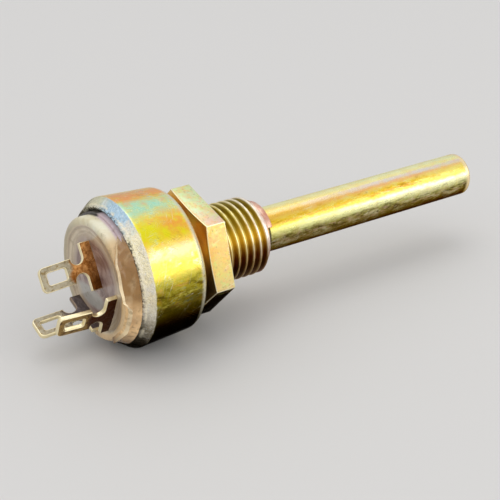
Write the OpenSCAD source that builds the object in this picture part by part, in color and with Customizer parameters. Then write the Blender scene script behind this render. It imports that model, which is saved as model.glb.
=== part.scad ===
// Panel-mount rotary potentiometer: a crimped steel case, a threaded bushing with its nut,
// a plain round shaft, and a moulded base with three solder lugs.
// The shaft axis is X with its free end towards +X, and the case's front face lies on X = 0.
// Clock angles run round the shaft axis from +Y towards +Z.

/* [Shaft] */
// Diameter of the shaft
shaft_d = 4; // [3.4:0.1:4.4]
// Reach of the shaft's tip in front of the case
shaft_reach = 32.9; // [16:0.1:50]
// Width of the bevel round the shaft's tip
tip_bevel = 0.3; // [0.1:0.05:0.6]
// Running clearance between the shaft and the bushing's bore, on the radius
shaft_clearance = 0.03; // [0.015:0.005:0.06]
// Depth of the shaft's two grooves, for the retaining ring and for the seal
groove_depth = 0.45; // [0.3:0.05:0.6]
// Diameter of the turned-down end that carries the rotor
tenon_d = 2.6; // [2.2:0.1:2.8]
// Width across the two flats of that end
tenon_flats = 2; // [1.6:0.1:2.4]

/* [Bushing] */
// Outer diameter of the bushing's thread
thread_d = 7; // [6.4:0.1:8]
// Reach of the bushing in front of the case
bushing_reach = 8.45; // [6:0.05:12]
// Width of the bevel at the bushing's mouth
bushing_bevel = 0.55; // [0.2:0.05:0.8]
// Distance from one groove of the thread to the next
thread_pitch = 0.75; // [0.6:0.05:1]
// Depth of the thread's grooves, on the radius
thread_depth = 0.44; // [0.3:0.02:0.5]
// Width of the flat crest between two grooves
thread_crest = 0.1; // [0.05:0.05:0.2]
// Distance of the first groove in front of the case
thread_start = 0.5; // [0.3:0.05:0.8]
// Space round the bushing's flange inside the base's skirt
flange_space = 0.35; // [0.2:0.05:0.6]
// Thickness of the bushing's flange
flange_t = 0.8; // [0.6:0.05:1]

/* [Nut] */
// Width across the nut's flats
nut_flats = 9.9; // [9:0.1:12]
// Thickness of the nut
nut_t = 2; // [1.5:0.1:3]
// Space left between the case's face and the nut, for the panel
panel_space = 1.02; // [0.5:0.02:4]
// Clock angle of one corner of the nut
nut_angle = 74.5; // [0:0.5:360]
// Diameter where the bevel meets the nut's rear face
nut_face_d = 9.7; // [9:0.1:9.9]
// Angle of the bevel from the nut's rear face
nut_bevel_angle = 11; // [8:1:25]

/* [Retaining ring] */
// Thickness of the ring
ring_t = 0.5; // [0.3:0.05:0.8]
// Outer diameter of the ring
ring_d = 5.7; // [5.2:0.1:6]
// Opening of the ring, in degrees
ring_gap = 84; // [40:1:120]
// Clock angle of the middle of the ring's opening
ring_gap_angle = 192; // [0:1:360]

/* [Case] */
// Diameter of the case behind its front edge
case_front_d = 12.5; // [12.2:0.1:14]
// Widening of the case from its front edge to its crimp, on the radius
case_taper = 0.3; // [0:0.05:0.5]
// Depth of the case from its front face to its crimp
band_depth = 5.24; // [4.8:0.02:7]
// Radius of the case's front edge
front_edge_r = 0.7; // [0.45:0.05:1]
// Thickness of the case's sheet
case_wall = 0.4; // [0.3:0.05:0.5]
// Length of the crimp along the axis
crimp_length = 0.96; // [0.6:0.02:1.2]
// Width by which the crimp turns inwards, on the radius
crimp_turn = 0.65; // [0.4:0.05:0.8]

/* [Base] */
// Height of the base's rear boss behind the crimp
boss_proud = 1.3; // [0.9:0.05:2.5]
// Width of the step that shows between the boss and the crimp
step_width = 0.2; // [0.1:0.05:0.4]
// Height of that step behind the crimp
step_proud = 0.2; // [0.05:0.05:0.4]
// Depth of the dish in the boss
dish_depth = 0.3; // [0.1:0.05:0.6]
// Width of the boss's rim round the dish
rim_width = 0.5; // [0.35:0.05:0.8]
// Width of the dish's sloping wall
dish_slope = 0.3; // [0.1:0.05:0.8]
// Rounding of the boss's rim
boss_round = 0.3; // [0.1:0.05:0.3]
// Length of the base's flange that the crimp holds
base_flange_t = 0.8; // [0.5:0.05:1]
// Wall of the base's skirt
skirt_wall = 0.4; // [0.3:0.05:0.5]
// Space between the skirt and the front of the case's wall
skirt_space = 0.1; // [0.05:0.05:0.2]
// Thickness of the gasket in front of the skirt
gasket_t = 0.2; // [0.1:0.05:0.4]

/* [Terminals] */
// Thickness of the terminals' sheet
lug_t = 0.4; // [0.2:0.05:0.5]
// Height of a terminal's bar above the dish
bar_height = 1; // [0.6:0.05:1.3]
// Space between the ends of the left-hand terminal's bar and the dish's wall
bar_space = 0.05; // [0.02:0.01:0.2]
// Width of the neck between bar and eyelet
neck_width = 0.8; // [0.6:0.05:1.2]
// Length of the neck, which is the diameter of the notches beside it
neck_length = 1.1; // [0.8:0.05:1.5]
// Width of the eyelet
eyelet_width = 2.1; // [1.8:0.05:2.4]
// Length of the eyelet
eyelet_length = 2.85; // [2.4:0.05:4]
// Width of the eyelet's slot
slot_width = 1; // [0.6:0.05:1.2]
// Length of the eyelet's slot
slot_length = 1.7; // [1.2:0.05:2]
// Rounding of the slot's corners
slot_round = 0.2; // [0.1:0.05:0.3]
// Rounding of the eyelet's outer corners
eyelet_round = 0.45; // [0.2:0.05:0.5]
// Width of the leg that passes through the base
leg_width = 1; // [0.6:0.1:1.4]
// Distance of the centre terminal from the shaft axis
centre_r = 1.45; // [1.2:0.05:1.8]
// Clock angle of the centre terminal's place
centre_clock = 98; // [0:1:360]
// Clock angle in which the centre terminal's blade lies
centre_turn = 59; // [0:1:180]
// Distance of the right-hand terminal from the dish's wall
right_inset = 1.1; // [0.9:0.05:1.3]
// Clock angle of the right-hand terminal's place
right_clock = 214; // [210:1:216]
// Clock angle in which the right-hand terminal's blade lies
right_turn = 114; // [112:1:120]
// Distance of the left-hand terminal from the dish's wall
left_inset = 0.75; // [0.6:0.05:1]
// Clock angle of the left-hand terminal's place
left_clock = 288; // [284:1:294]
// Clock angle in which the left-hand terminal's blade lies
left_turn = 20; // [15:1:24]

/* [Rotor and contacts] */
// Turning angle of the shaft between its stops
travel = 270; // [240:1:280]
// Clock angle of the wiper in the middle of its travel
wiper_angle = 69; // [0:1:360]
// Thickness of the rotor's disc
rotor_t = 1; // [0.8:0.05:1.2]
// Width of the rotor's stop lug outside its disc
stop_lug_width = 1.4; // [1.2:0.05:1.5]
// Space between the stop lug and the base's skirt
stop_lug_space = 0.25; // [0.15:0.05:0.4]
// Diameter of the stop pin
stop_pin_d = 1; // [0.8:0.05:1.1]
// Thickness of the thrust washer
washer_t = 0.25; // [0.15:0.05:0.35]
// Width of the thrust washer outside the shaft
washer_width = 0.8; // [0.5:0.05:0.9]
// Thickness of the wiper's spring sheet
spring_t = 0.15; // [0.1:0.05:0.2]
// Rise of the wiper's sprung arm
spring_rise = 0.3; // [0.25:0.05:0.5]
// Width of the wiper's arm
spring_width = 1.5; // [1.2:0.1:1.8]
// Margin of the wiper's foot round the shaft's flatted end, and of its tip round the brush
spring_margin = 0.25; // [0.2:0.05:0.4]
// Diameter of the carbon brush on the track
track_brush_d = 0.8; // [0.6:0.05:1]
// Diameter of the carbon brush on the collector
collector_brush_d = 0.5; // [0.45:0.05:0.7]
// Shoulder by which a brush is wider than its stem, on the radius
brush_shoulder = 0.15; // [0.1:0.05:0.2]
// Length of the shaft's flatted end behind its clip
tenon_end = 0.15; // [0.1:0.05:0.3]
// Width of the clip round the shaft's flatted end
clip_width = 0.25; // [0.2:0.05:0.5]
// Thickness of the clip on the shaft's end
clip_t = 0.25; // [0.15:0.05:0.35]
// Space between the resistive track and the base's skirt
track_space = 0.6; // [0.4:0.05:0.7]
// Width of the resistive track
track_width = 1; // [0.8:0.05:1.2]
// Space between the resistive track and the collector ring
track_gap = 0.2; // [0.15:0.05:0.4]
// Arc of the resistive track
track_arc = 302; // [290:1:310]
// Margin of the collector ring outside its brush
collector_margin = 0.1; // [0.05:0.05:0.2]
// Inner radius of the collector ring
collector_bore = 0.8; // [0.5:0.05:1]
// Height by which track and collector stand above the chamber's floor
track_proud = 0.1; // [0.05:0.05:0.2]
// Depth to which track and collector are set into the base
track_set = 0.4; // [0.2:0.05:0.6]

/* [Sealing compound] */
// Clock angle where the compound starts
compound_start = 112; // [60:1:180]
// Arc that the compound covers
compound_arc = 150; // [60:1:200]

/* [Fits] */
// Space between pieces that are pressed, crimped or moulded together
fit = 0.02; // [0.01:0.01:0.04]
// Space between pieces that slide or turn past each other
running = 0.05; // [0.03:0.01:0.1]

/* [Hidden] */
$fn = 96;
// Overshoot of a cutter past the face that it opens
over = 0.5;

shaft_r = shaft_d / 2;
bore_r = shaft_r + shaft_clearance;
thread_r = thread_d / 2;
groove_r = shaft_r - groove_depth;
// The last groove ends before the bevel at the mouth
thread_end = bushing_reach - bushing_bevel - thread_pitch;

// Case: the crimp is the same sheet as the wall, turned inwards
front_r = case_front_d / 2;
rear_r = front_r + case_taper;
crimp_r = rear_r - crimp_turn;
case_depth = band_depth + crimp_length;
crimp_slant = norm([crimp_turn, crimp_length]);
lip_r = crimp_r - case_wall * crimp_length / crimp_slant;
lip_depth = case_depth - case_wall * crimp_turn / crimp_slant;
crimp_slope = crimp_length / crimp_turn;
inner_front_r = front_r - case_wall;
inner_rear_r = rear_r - case_wall;
inner_edge_r = front_edge_r - case_wall;
inner_corner_depth = lip_depth - (inner_rear_r - lip_r) * crimp_slope;

// Base: a skirt that stands on the gasket, and a rear flange that the crimp holds
step_r = lip_r - running;
step_depth = case_depth + step_proud;
boss_r = step_r - step_width;
boss_depth = case_depth + boss_proud;
floor_depth = boss_depth - dish_depth;
dish_r = boss_r - rim_width;
dish_floor_r = dish_r - dish_slope;
skirt_front = case_wall + gasket_t + fit;
skirt_r = inner_front_r - skirt_space;
chamber_r = skirt_r - skirt_wall;
base_corner_depth = inner_corner_depth - running;
base_neck_depth = base_corner_depth + (inner_rear_r - running - step_r) * crimp_slope;
chamber_depth = base_corner_depth - base_flange_t;

// Stack inside the case, each value a depth behind the case's front face
flange_rear = case_wall + flange_t + fit;
washer_front = flange_rear + fit;
washer_rear = washer_front + washer_t;
rotor_front = washer_rear + running;
rotor_rear = rotor_front + rotor_t;
spring_front = rotor_rear + fit;
spring_rear = spring_front + spring_t;
arm_rear = spring_rear + spring_rise;
clip_front = spring_rear + fit;
tenon_rear = clip_front + clip_t + tenon_end;
track_face = chamber_depth - track_proud;
brush_rear = track_face - running;

// The stop lug meets the pin when the shaft has turned half its travel from the middle
flange_r = chamber_r - flange_space;
stop_lug_r = chamber_r - stop_lug_space;
rotor_r = stop_lug_r - stop_lug_width;
stop_r = stop_lug_r - stop_lug_width / 2;
stop_pin_half = asin(stop_pin_d / 2 / stop_r);
stop_margin = 0.4;
stop_lug_half = 180 - travel / 2 - stop_pin_half - stop_margin;
stop_angle = wiper_angle + 180;

// Grooves of the shaft, and the sealing ring that fills the inner one
ring_rear_reach = bushing_reach + running;
seal_middle = bushing_reach / 2;
seal_r = (bore_r - groove_r - fit) / 2;
seal_groove = 2 * seal_r + 2 * running;

// Wiper: a foot round the shaft's flatted end, and a raised arm that holds both brushes
foot_half = tenon_d / 2 + spring_margin;
arm_start = foot_half + spring_rise;
track_outer_r = chamber_r - track_space;
track_inner_r = track_outer_r - track_width;
track_r = track_outer_r - track_width / 2;
collector_r = track_inner_r - track_gap;
collector_brush_r = collector_r - collector_margin - collector_brush_d / 2;

// Terminals, as distances behind the case's front face and round the shaft axis
bar_rear = floor_depth + bar_height;
eyelet_front = bar_rear + neck_length;
eyelet_rear = eyelet_front + eyelet_length;
leg_front = chamber_depth + track_set + fit;
left_r = dish_floor_r - left_inset;
right_r = dish_floor_r - right_inset;
bar_half = sqrt(pow(dish_floor_r - bar_space, 2) - pow(left_r + lug_t / 2, 2));
centre_place = [centre_r, centre_clock, centre_turn];
right_place = [right_r, right_clock, right_turn];
left_place = [left_r, left_clock, left_turn];

// Inner radius of the case's tapered wall at a depth
function inner_r(depth) = inner_front_r + (inner_rear_r - inner_front_r)
    * (depth - case_wall) / (inner_corner_depth - case_wall);

// Lays a piece that is drawn along Z onto the shaft axis, with its front towards +X
module along_axis() {
    rotate([90, 0, 90]) children();
}

// Turns a section drawn as [radius, distance in front of the case's face]
module turned(start = 0, arc = 360) {
    along_axis() rotate(start) rotate_extrude(angle = arc) children();
}

// Plain disc or ring between two depths behind the case's front face
module disc(r, rear, front, bore = 0) {
    along_axis() translate([0, 0, -rear]) difference() {
        cylinder(r = r, h = rear - front);
        if (bore > 0) translate([0, 0, -over]) cylinder(r = bore, h = rear - front + 2 * over);
    }
}

// Round pin parallel to the shaft at a clock angle, between two depths
module pin(r, at, angle, rear, front) {
    along_axis() rotate(angle) translate([at, 0, -rear]) cylinder(r = r, h = rear - front);
}

// What rounding takes off one outside corner of a section
module corner_cut(corner, r, side) {
    translate([corner[0] - side[0] * r, corner[1] - side[1] * r]) difference() {
        translate([side[0] > 0 ? 0 : -r - over, side[1] > 0 ? 0 : -r - over]) square(r + over);
        circle(r);
    }
}

// Square with rounded corners, centred across and standing on a line
module rounded_block(width, front, rear, r) {
    difference() {
        translate([-width / 2, front]) square([width, rear - front]);
        for (side = [-1, 1]) {
            corner_cut([side * width / 2, rear], r, [side, 1]);
            corner_cut([side * width / 2, front], r, [side, -1]);
        }
    }
}

// Flat sector between two radii, centred on clock angle 0
module sector(r_in, r_out, half) {
    difference() {
        circle(r_out);
        circle(r_in);
        rotate(half) translate([-2 * r_out, 0]) square([4 * r_out, 2 * r_out]);
        rotate(-half) translate([-2 * r_out, -2 * r_out]) square([4 * r_out, 2 * r_out]);
    }
}

// Drawn steel cup with a rounded front edge and a crimped rear rim
module case() {
    color([0.78, 0.7, 0.2]) turned() difference() {
        polygon([[0, 0], [front_r, 0], [front_r, -front_edge_r], [rear_r, -band_depth],
            [crimp_r, -case_depth], [0, -case_depth]]);
        corner_cut([front_r, 0], front_edge_r, [1, 1]);
        difference() {
            polygon([[0, -case_wall], [inner_front_r, -case_wall],
                [inner_rear_r, -inner_corner_depth], [lip_r, -lip_depth],
                [crimp_r, -case_depth], [crimp_r, -case_depth - over], [0, -case_depth - over]]);
            corner_cut([inner_front_r, -case_wall], inner_edge_r, [1, 1]);
        }
        translate([0, -case_wall - over]) square([thread_r + fit, case_wall + 2 * over]);
    }
}

// One groove of the thread's section: the crests are rings, which stand for the helix
module thread_groove(reach) {
    opening = thread_pitch - thread_crest;
    bottom = thread_crest;
    polygon([[thread_r + over, reach], [thread_r, reach],
        [thread_r - thread_depth, reach + (opening - bottom) / 2],
        [thread_r - thread_depth, reach + (opening + bottom) / 2],
        [thread_r, reach + opening], [thread_r + over, reach + opening]]);
}

// Threaded bushing: its flange lies inside the case and carries the stop pin
module bushing() {
    color([0.72, 0.6, 0.3]) difference() {
        turned() difference() {
            polygon([[0, bushing_reach], [thread_r - bushing_bevel, bushing_reach],
                [thread_r, bushing_reach - bushing_bevel], [thread_r, -case_wall - fit],
                [flange_r, -case_wall - fit], [flange_r, -flange_rear], [0, -flange_rear]]);
            translate([0, -flange_rear - over])
                square([bore_r, bushing_reach + flange_rear + 2 * over]);
            for (reach = [thread_start : thread_pitch : thread_end]) thread_groove(reach);
        }
        pin(stop_pin_d / 2 + fit, stop_r, stop_angle, flange_rear + over, case_wall - over);
    }
}

// Thin hexagon nut, bevelled on the face towards the case
module hex_nut() {
    corner_r = nut_flats / 2 / cos(30);
    bevel_length = (corner_r - nut_face_d / 2) * tan(nut_bevel_angle);
    color([0.8, 0.76, 0.45]) along_axis() translate([0, 0, panel_space]) difference() {
        intersection() {
            rotate(nut_angle) cylinder(r = corner_r, h = nut_t, $fn = 6);
            union() {
                cylinder(r1 = nut_face_d / 2, r2 = corner_r, h = bevel_length);
                translate([0, 0, bevel_length]) cylinder(r = corner_r + over, h = nut_t);
            }
        }
        translate([0, 0, -over]) cylinder(r = thread_r + fit, h = nut_t + 2 * over);
    }
}

// Round shaft with a bevelled tip, two grooves, and a flatted end for the rotor
module shaft() {
    color([0.75, 0.68, 0.25]) {
        turned() difference() {
            polygon([[0, shaft_reach], [shaft_r - tip_bevel, shaft_reach],
                [shaft_r, shaft_reach - tip_bevel], [shaft_r, -rotor_front + fit],
                [0, -rotor_front + fit]]);
            translate([groove_r, bushing_reach]) square([shaft_r, ring_t + 2 * running]);
            translate([groove_r, seal_middle - seal_groove / 2]) square([shaft_r, seal_groove]);
        }
        along_axis() rotate(wiper_angle) translate([0, 0, -tenon_rear])
            linear_extrude(tenon_rear - rotor_front + fit) tenon_section();
    }
}

// Open spring ring in the shaft's outer groove, lying in front of the bushing's mouth
module retaining_ring() {
    color([0.72, 0.5, 0.42]) along_axis() translate([0, 0, ring_rear_reach])
        linear_extrude(ring_t) difference() {
            circle(ring_d / 2);
            circle(groove_r + fit);
            rotate(ring_gap_angle) polygon([[0, 0], [ring_d, -ring_d * tan(ring_gap / 2)],
                [ring_d, ring_d * tan(ring_gap / 2)]]);
        }
}

// Washer between the bushing's flange and the rotor
module thrust_washer() {
    color([0.85, 0.82, 0.75]) disc(shaft_r + washer_width, washer_rear, washer_front, bore_r + fit);
}

// Rubber sealing ring in the shaft's inner groove
module shaft_seal() {
    color([0.1, 0.1, 0.1]) turned() translate([(bore_r + groove_r) / 2, seal_middle]) circle(seal_r);
}

// Pin in the bushing's flange that stops the rotor at both ends of its travel
module stop_pin() {
    color([0.75, 0.75, 0.76])
        pin(stop_pin_d / 2, stop_r, stop_angle, rotor_rear - running, case_wall + fit);
}

// Cross-section of the shaft's flatted end, grown all round by a space
module tenon_section(space = 0) {
    intersection() {
        circle(tenon_d / 2 + space);
        square([2 * tenon_d, tenon_flats + 2 * space], center = true);
    }
}

// Moulded disc on the shaft's flatted end, with the lug that meets the stop pin
module rotor() {
    color([0.25, 0.13, 0.08]) along_axis() rotate(wiper_angle)
        translate([0, 0, -rotor_rear]) difference() {
            union() {
                cylinder(r = rotor_r, h = rotor_t);
                linear_extrude(rotor_t) sector(rotor_r / 2, stop_lug_r, stop_lug_half);
            }
            translate([0, 0, -over]) linear_extrude(rotor_t + 2 * over) tenon_section(fit);
        }
}

// Side view of the wiper's arm: a foot, a slope and the raised end that holds the brushes
module arm_side() {
    tip = track_r + track_brush_d / 2 + spring_margin;
    polygon([[-foot_half, 0], [-foot_half, spring_t], [foot_half, spring_t],
        [arm_start, spring_t + spring_rise], [tip, spring_t + spring_rise],
        [tip, spring_rise], [arm_start, spring_rise], [foot_half, 0]]);
}

// Sprung sheet arm that presses both brushes onto their tracks
module wiper_spring() {
    foot_width = 2 * foot_half;
    color([0.75, 0.55, 0.3]) along_axis() rotate(wiper_angle) difference() {
        translate([0, -foot_width / 2, -spring_front]) rotate([-90, 0, 0])
            linear_extrude(foot_width) arm_side();
        for (side = [-1, 1])
            translate([foot_half, side > 0 ? spring_width / 2 : -spring_width / 2 - foot_width,
                -arm_rear - over])
                cube([track_r + track_brush_d, foot_width, arm_rear]);
        translate([0, 0, -tenon_rear]) linear_extrude(tenon_rear) tenon_section(fit);
        for (stem = [[track_r, track_brush_d], [collector_brush_r, collector_brush_d]])
            translate([stem[0], 0, -arm_rear - over])
                cylinder(r = stem[1] / 2 - brush_shoulder + fit, h = spring_t + 2 * over);
    }
}

// Carbon brush whose stem sits in the wiper's arm
module brush(d, at) {
    color([0.15, 0.15, 0.16]) along_axis() rotate(wiper_angle) translate([at, 0, -brush_rear]) {
        cylinder(r = d / 2, h = brush_rear - arm_rear - fit);
        cylinder(r = d / 2 - brush_shoulder, h = brush_rear - arm_rear + spring_t);
    }
}

module track_brush() {
    brush(track_brush_d, track_r);
}

module collector_brush() {
    brush(collector_brush_d, collector_brush_r);
}

// Push-on clip that holds the wiper and the rotor on the shaft's flatted end
module rotor_clip() {
    color([0.7, 0.7, 0.72]) along_axis() rotate(wiper_angle) translate([0, 0, -clip_front - clip_t])
        difference() {
            cylinder(r = tenon_d / 2 + clip_width, h = clip_t);
            translate([0, 0, -over]) linear_extrude(clip_t + 2 * over) tenon_section(fit);
        }
}

// Section of the moulded base: skirt, flange under the crimp, step, boss with its dish
module base_section() {
    difference() {
        polygon([[0, -skirt_front], [skirt_r, -skirt_front], [skirt_r, -chamber_depth],
            [inner_r(chamber_depth) - running, -chamber_depth],
            [inner_rear_r - running, -base_corner_depth], [step_r, -base_neck_depth],
            [step_r, -step_depth], [boss_r, -step_depth], [boss_r, -boss_depth], [0, -boss_depth]]);
        corner_cut([boss_r, -boss_depth], boss_round, [1, -1]);
        polygon([[0, -floor_depth], [dish_floor_r, -floor_depth], [dish_r, -boss_depth],
            [dish_r, -boss_depth - over], [0, -boss_depth - over]]);
        translate([0, -chamber_depth]) square([chamber_r, chamber_depth]);
        translate([collector_bore - fit, -chamber_depth - track_set])
            square([collector_r - collector_bore + 2 * fit, track_set + over]);
    }
}

// Moulded base with the groove of the track and the slots of the terminals
module base() {
    color([0.86, 0.8, 0.68]) difference() {
        turned() base_section();
        turned(wiper_angle - track_arc / 2, track_arc)
            translate([track_inner_r - fit, -chamber_depth - track_set])
                square([track_width + 2 * fit, track_set + over]);
        for (place = [centre_place, right_place, left_place])
            at_terminal(place) linear_extrude(lug_t + 2 * fit, center = true)
                translate([-leg_width / 2 - fit, chamber_depth])
                    square([leg_width + 2 * fit, boss_depth - chamber_depth]);
    }
}

// Horseshoe of resistive compound, open opposite the wiper's middle place
module resistive_track() {
    end_gap = asin(fit / track_r);
    color([0.12, 0.12, 0.12])
        turned(wiper_angle - track_arc / 2 + end_gap, track_arc - 2 * end_gap)
            translate([track_inner_r, -chamber_depth - track_set + fit / 2])
                square([track_width, track_set + track_proud - fit / 2]);
}

// Flat ring under the inner brush
module collector_ring() {
    color([0.75, 0.72, 0.65])
        disc(collector_r, chamber_depth + track_set - fit / 2, track_face, collector_bore);
}

// Stands a flat piece, drawn across the blade and along the depth, at a terminal's place
module at_terminal(place) {
    along_axis() rotate(place[1]) translate([place[0], 0, 0])
        rotate(place[2] - place[1]) rotate([-90, 0, 0]) children();
}

// Sheet outline of a terminal: leg, bar, necked shank and slotted eyelet
module terminal_outline() {
    slot_front = eyelet_front + (eyelet_length - slot_length) / 2;
    notch_r = neck_length / 2;
    difference() {
        union() {
            translate([-leg_width / 2, leg_front]) square([leg_width, bar_rear - leg_front]);
            translate([-bar_half, floor_depth + fit]) square([2 * bar_half, bar_height - fit]);
            translate([-eyelet_width / 2, bar_rear - fit])
                square([eyelet_width, neck_length + 2 * fit]);
            rounded_block(eyelet_width, eyelet_front, eyelet_rear, eyelet_round);
            translate([-eyelet_width / 2, eyelet_front])
                square([eyelet_width, eyelet_length / 2]);
        }
        for (side = [-1, 1]) translate([side * (neck_width / 2 + notch_r), bar_rear + notch_r]) {
            circle(notch_r);
            translate([side > 0 ? 0 : -eyelet_width, -notch_r]) square([eyelet_width, neck_length]);
        }
        rounded_block(slot_width, slot_front, slot_front + slot_length, slot_round);
    }
}

module terminal(place) {
    color([0.8, 0.62, 0.3]) at_terminal(place) linear_extrude(lug_t, center = true)
        terminal_outline();
}

module terminal_centre() {
    terminal(centre_place);
}

module terminal_right() {
    terminal(right_place);
}

module terminal_left() {
    terminal(left_place);
}

// Rubber ring between the case's front wall and the base's skirt
module base_gasket() {
    color([0.2, 0.18, 0.16]) disc(inner_front_r - inner_edge_r - running,
        case_wall + gasket_t, case_wall + fit / 2, chamber_r - running);
}

// Fillet of compound that fills the corner between boss and crimp, along part of the rim
module sealing_compound() {
    color([0.8, 0.62, 0.35]) turned(compound_start, compound_arc)
        polygon([[boss_r + fit, -boss_depth + boss_round], [crimp_r - fit, -case_depth - running],
            [lip_r + fit, -lip_depth - running], [step_r + fit, -lip_depth - running],
            [step_r + fit, -step_depth - fit], [boss_r + fit, -step_depth - fit]]);
}

case();
bushing();
hex_nut();
shaft();
retaining_ring();
thrust_washer();
shaft_seal();
stop_pin();
rotor();
wiper_spring();
track_brush();
collector_brush();
rotor_clip();
base();
resistive_track();
collector_ring();
terminal_centre();
terminal_right();
terminal_left();
base_gasket();
sealing_compound();
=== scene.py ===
"""Dresses a panel-mount rotary potentiometer: plated shaft, threaded bushing with nut, crimped case,
moulded base with three solder lugs, and the fillet of resin that seals it."""

import math

import bpy
from bpy.props import FloatProperty, FloatVectorProperty, PointerProperty
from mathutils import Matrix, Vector, noise


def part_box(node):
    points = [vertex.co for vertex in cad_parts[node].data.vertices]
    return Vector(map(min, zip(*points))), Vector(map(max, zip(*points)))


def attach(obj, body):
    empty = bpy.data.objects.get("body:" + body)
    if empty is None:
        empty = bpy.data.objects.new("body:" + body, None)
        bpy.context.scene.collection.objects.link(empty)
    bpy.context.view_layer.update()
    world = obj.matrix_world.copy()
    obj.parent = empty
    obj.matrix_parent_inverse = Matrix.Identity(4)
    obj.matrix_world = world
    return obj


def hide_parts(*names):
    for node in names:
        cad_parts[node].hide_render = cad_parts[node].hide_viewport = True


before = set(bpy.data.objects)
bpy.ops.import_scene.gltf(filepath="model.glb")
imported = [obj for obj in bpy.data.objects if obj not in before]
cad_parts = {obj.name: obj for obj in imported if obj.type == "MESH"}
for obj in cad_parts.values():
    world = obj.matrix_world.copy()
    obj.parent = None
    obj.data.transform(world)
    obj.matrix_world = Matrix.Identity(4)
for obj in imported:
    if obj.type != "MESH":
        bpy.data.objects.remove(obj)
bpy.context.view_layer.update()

bl_info = {
    "name": "Rotary Potentiometer",
    "version": (1, 0, 0),
    "blender": (4, 5, 0),
    "location": "View3D > Sidebar > Potentiometer",
    "description": "Models and finishes the pieces of a panel-mount rotary potentiometer",
    "category": "Add Mesh",
}

MM = 0.001
HOUSING = "housing"
SPINDLE = "spindle"
WELD = 1e-7
ANGLE_SLACK = 0.01
# Length in millimetres that a turn round the shaft takes up in an unrolled pattern.
TURN_LENGTH = 40.0
# Light of the sky at the horizon and overhead.
HORIZON = (0.56, 0.56, 0.56, 1)
ZENITH = (0.95, 0.96, 1.0, 1)
# Rounding of the retaining ring's edges, and the depths between which a terminal shows only its bar.
RING_EDGE = 0.08 * MM
BAR_REAR = 8.2 * MM
BAR_FRONT = 7.1 * MM
# Clock angles, from the back over the top, and how many millimetres the compound's crest leans out there.
CREST_FOLDS = (
    (112, 0), (134, 0.2), (150, -0.1), (166, -0.4), (176, -0.1),
    (185, 0.42), (206, 0.36), (226, 0.1), (262, 0),
)


def rear(node):
    """Distance of a node's rear end behind the case's front face."""
    return -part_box(node)[0].x


def reach(node):
    """Distance of a node's front end in front of the case's front face."""
    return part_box(node)[1].x


def radius(node):
    """Largest radius of a round node, from the width of its box."""
    low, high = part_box(node)
    return (high.y - low.y) / 2


def length(name, description, millimetres):
    """A size that the user may change."""
    default = millimetres * MM
    return FloatProperty(name=name, description=description, default=default, unit="LENGTH", precision=6)


def angle(name, description, degrees):
    """An angle that the user may change."""
    return FloatProperty(name=name, description=description, default=math.radians(degrees), subtype="ANGLE")


def number(name, description, default):
    """A plain number that the user may change."""
    return FloatProperty(name=name, description=description, default=default)


def linear(code):
    """Linear colour of a hex code such as D8B24A, or of a colour that is linear already."""
    if not isinstance(code, str):
        return tuple(code[:3])
    parts = [int(code[i : i + 2], 16) / 255 for i in (0, 2, 4)]
    return tuple(c / 12.92 if c <= 0.04045 else ((c + 0.055) / 1.055) ** 2.4 for c in parts)


def colour(name, description, code):
    """A colour that the user may change."""
    return FloatVectorProperty(
        name=name, description=description, default=linear(code), size=3, subtype="COLOR", min=0, max=1
    )


def clamped(value):
    """A value kept within 0 and 1."""
    return min(1, max(0, value))


def eased(share):
    """A share from 0 to 1 that starts and ends gently."""
    return share * share * (3 - 2 * share)


def axis_gap(at):
    """Distance of a place from the shaft axis."""
    return math.hypot(at.y, at.z)


def move_out(at, new_radius):
    """Move a place straight out from the shaft axis to a new radius."""
    share = new_radius / axis_gap(at)
    at.y *= share
    at.z *= share


class ShaftSettings(bpy.types.PropertyGroup):
    radius: length("Radius", "Radius of the shaft", 2.0)
    tip_bevel: length("Tip bevel", "Width of the bevel round the tip", 0.3)
    groove_depth: length("Groove depth", "Depth of the two grooves", 0.45)
    groove_width: length("Groove width", "Width of the retaining ring's groove", 0.6)
    seal_middle: length("Seal place", "Place of the seal's groove in front of the case", 4.225)
    seal_width: length("Seal groove", "Width of the seal's groove", 0.56)
    tenon_radius: length("Tenon radius", "Radius of the turned-down end", 1.3)
    tenon_flats: length("Tenon flats", "Width across the flats of that end", 2.0)
    shoulder: length("Shoulder", "Depth of the shoulder that carries the rotor", 1.52)
    flats_turn: angle("Flats' turn", "Clock angle of the line along which the flats lie", 69)
    edge: length("Edge", "Rounding of the turned edges", 0.03)


class BushingSettings(bpy.types.PropertyGroup):
    radius: length("Thread radius", "Outer radius of the thread", 3.5)
    pitch: length("Pitch", "Pitch of the thread", 0.75)
    thread_depth: length("Thread depth", "Depth of the thread's groove", 0.44)
    thread_start: length("Thread start", "Where the thread runs out in front of the case", 0.35)
    mouth_bevel: length("Mouth bevel", "Width of the bevel at the mouth", 0.55)
    bore: length("Bore", "Radius of the bore", 2.03)
    flange_front: length("Flange front", "Depth of the flange's front face", 0.42)
    ring_step: length("Ring step", "Distance between two rings of the thread's mesh", 0.03)


class NutSettings(bpy.types.PropertyGroup):
    edge: length("Edge", "Rounding of the nut's edges", 0.1)


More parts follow.
